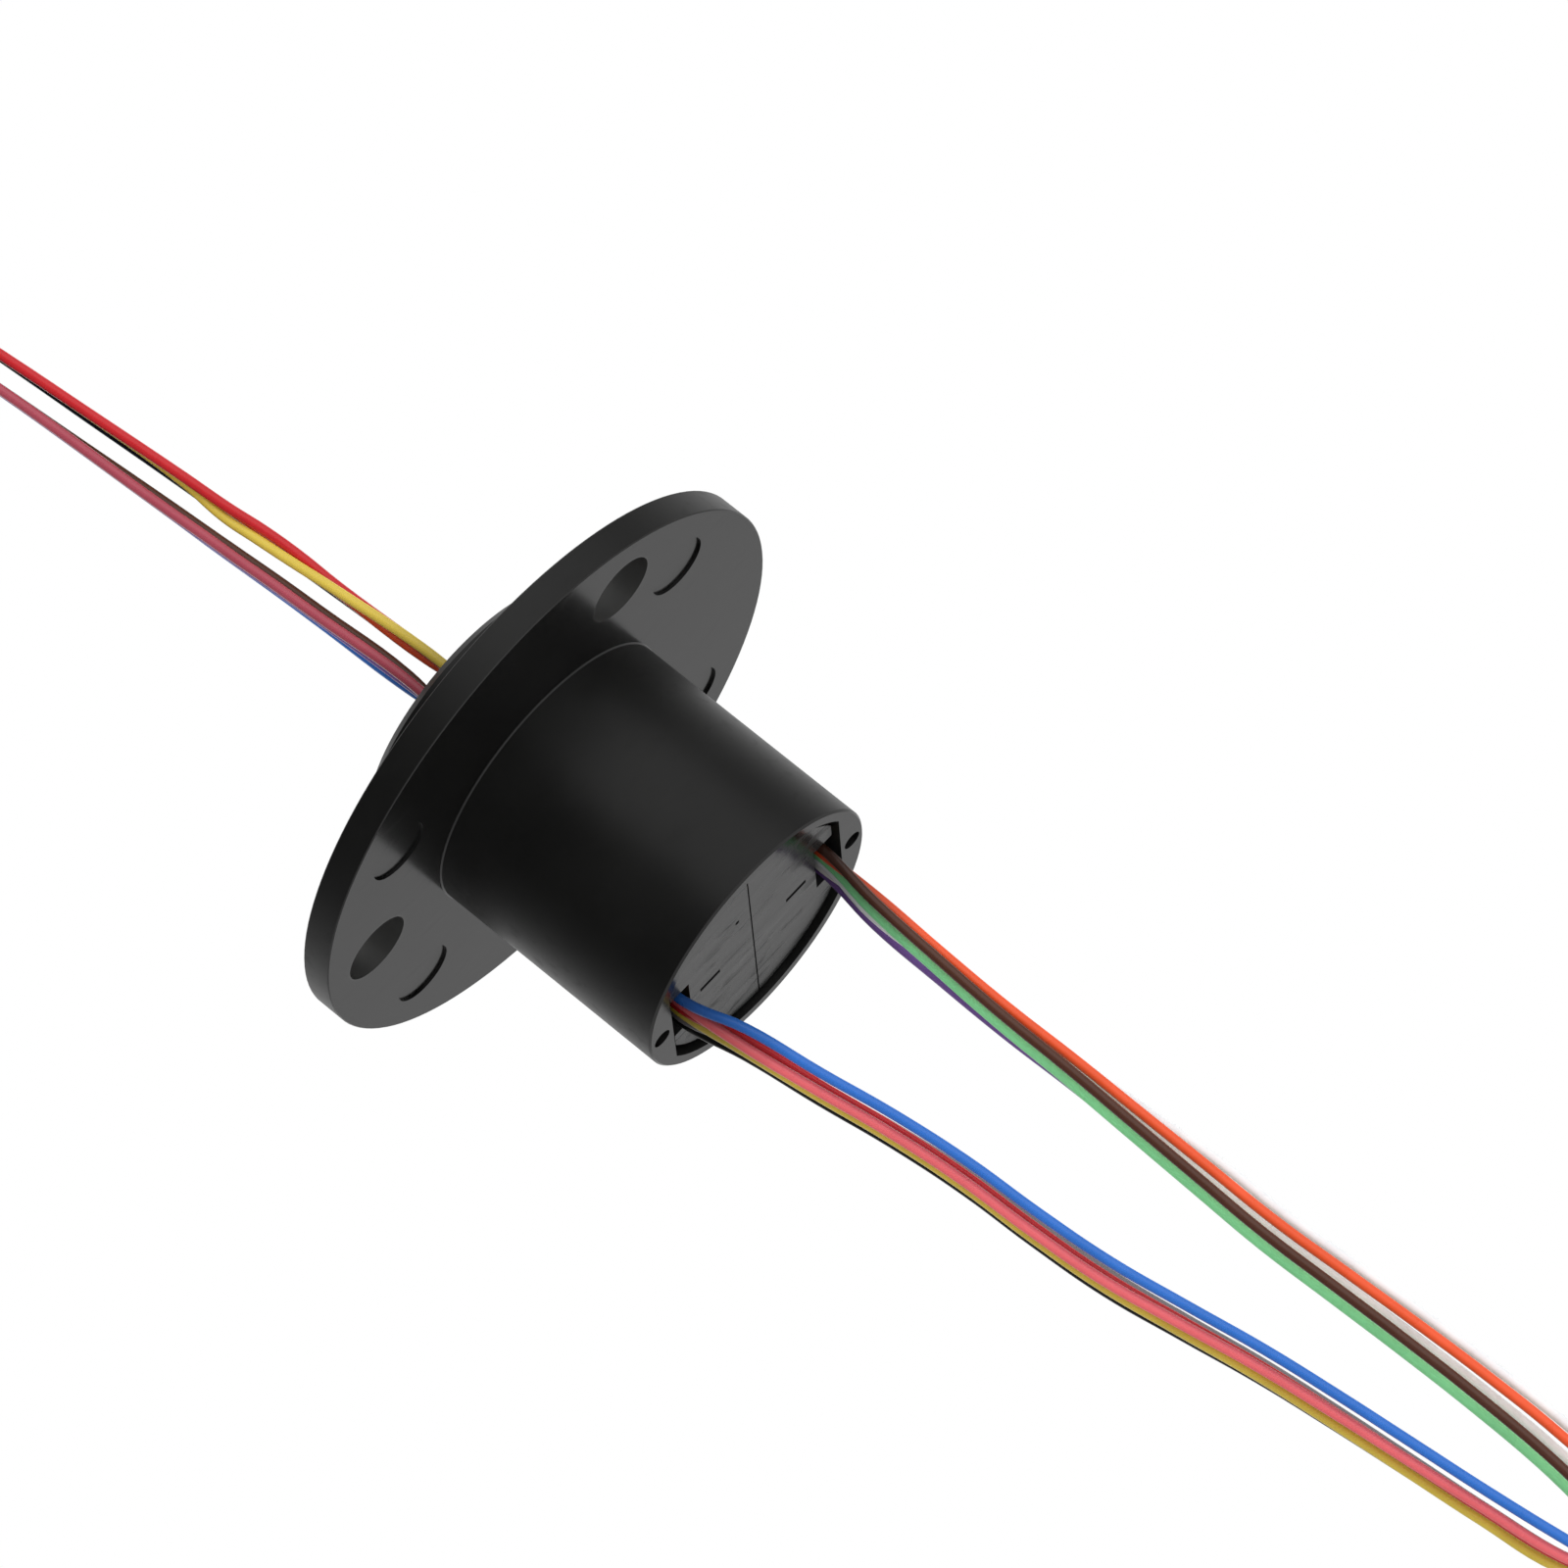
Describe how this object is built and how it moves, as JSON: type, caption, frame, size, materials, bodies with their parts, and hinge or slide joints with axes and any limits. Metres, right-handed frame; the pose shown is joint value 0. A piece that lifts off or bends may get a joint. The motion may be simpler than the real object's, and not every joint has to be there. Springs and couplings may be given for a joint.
{
  "type": "slip ring",
  "caption": "Capsule slip ring with a round three-hole mounting flange, moulded body and bundles of bare lead wires from both ends.",
  "frame": {"origin": "centre of the flange's mounting face, on the rotation axis", "axes": "+Z along the rotation axis towards the rotor's leads; the capsule hangs below the flange towards -Z; +X through one of the capsule's two ears"},
  "size_m": [0.0445, 0.0444, 0.221],
  "materials": {
    "housing": "moulded black engineering plastic, semi-gloss",
    "brush_block": "moulded black plastic, satin",
    "brush_wire": "gold alloy wire",
    "contact_ring": "gold plated, polished",
    "bearing": "ground bearing steel",
    "ring_carrier": "moulded insulator",
    "rotor_hub": "moulded black plastic, semi-gloss",
    "potting": "dark casting resin",
    "hank": "folded lead wires",
    "tie": "natural nylon",
    "lead_black": "extruded fluoropolymer insulation",
    "lead_brown": "extruded fluoropolymer insulation",
    "lead_red": "extruded fluoropolymer insulation",
    "lead_orange": "extruded fluoropolymer insulation",
    "lead_yellow": "extruded fluoropolymer insulation",
    "lead_green": "extruded fluoropolymer insulation",
    "lead_blue": "extruded fluoropolymer insulation",
    "lead_violet": "extruded fluoropolymer insulation",
    "lead_grey": "extruded fluoropolymer insulation",
    "lead_white": "extruded fluoropolymer insulation",
    "lead_pink": "extruded fluoropolymer insulation",
    "lead_natural": "extruded fluoropolymer insulation"
  },
  "bodies": {
    "stator": {"flanged_housing": "housing", "brush_block_a": "brush_block", "brush_block_b": "brush_block", "brush_wires_a": "brush_wire", "brush_wires_b": "brush_wire", "lower_outer_race": "bearing", "upper_outer_race": "bearing", "stator_lead_blue": "lead_blue", "stator_lead_grey": "lead_grey", "stator_lead_red": "lead_red", "stator_lead_pink": "lead_pink", "stator_lead_yellow": "lead_yellow", "stator_lead_black": "lead_black", "stator_lead_orange": "lead_orange", "stator_lead_white": "lead_white", "stator_lead_green": "lead_green", "stator_lead_brown": "lead_brown", "stator_lead_natural": "lead_natural", "stator_lead_violet": "lead_violet", "lead_hank": "hank", "hank_tie": "tie"},
    "rotor": {"rotor_core": "ring_carrier", "rotor_hub": "rotor_hub", "lead_potting": "potting", "lower_inner_race": "bearing", "upper_inner_race": "bearing", "lower_ball_set": "bearing", "upper_ball_set": "bearing", "contact_ring_01": "contact_ring", "contact_ring_02": "contact_ring", "contact_ring_03": "contact_ring", "contact_ring_04": "contact_ring", "contact_ring_05": "contact_ring", "contact_ring_06": "contact_ring", "contact_ring_07": "contact_ring", "contact_ring_08": "contact_ring", "contact_ring_09": "contact_ring", "contact_ring_10": "contact_ring", "contact_ring_11": "contact_ring", "contact_ring_12": "contact_ring", "rotor_lead_yellow": "lead_yellow", "rotor_lead_red": "lead_red", "rotor_lead_orange": "lead_orange", "rotor_lead_black": "lead_black", "rotor_lead_white": "lead_white", "rotor_lead_natural": "lead_natural", "rotor_lead_pink": "lead_pink", "rotor_lead_brown": "lead_brown", "rotor_lead_violet": "lead_violet", "rotor_lead_blue": "lead_blue", "rotor_lead_grey": "lead_grey", "rotor_lead_green": "lead_green", "rotor_lead_anchor": "tie"}
  },
  "joints": [
    {"name": "rotor_turn", "type": "hinge", "parent": "stator", "child": "rotor", "pos_m": [0, 0, 0], "axis": [0, 0, 1], "continuous": true}
  ]
}
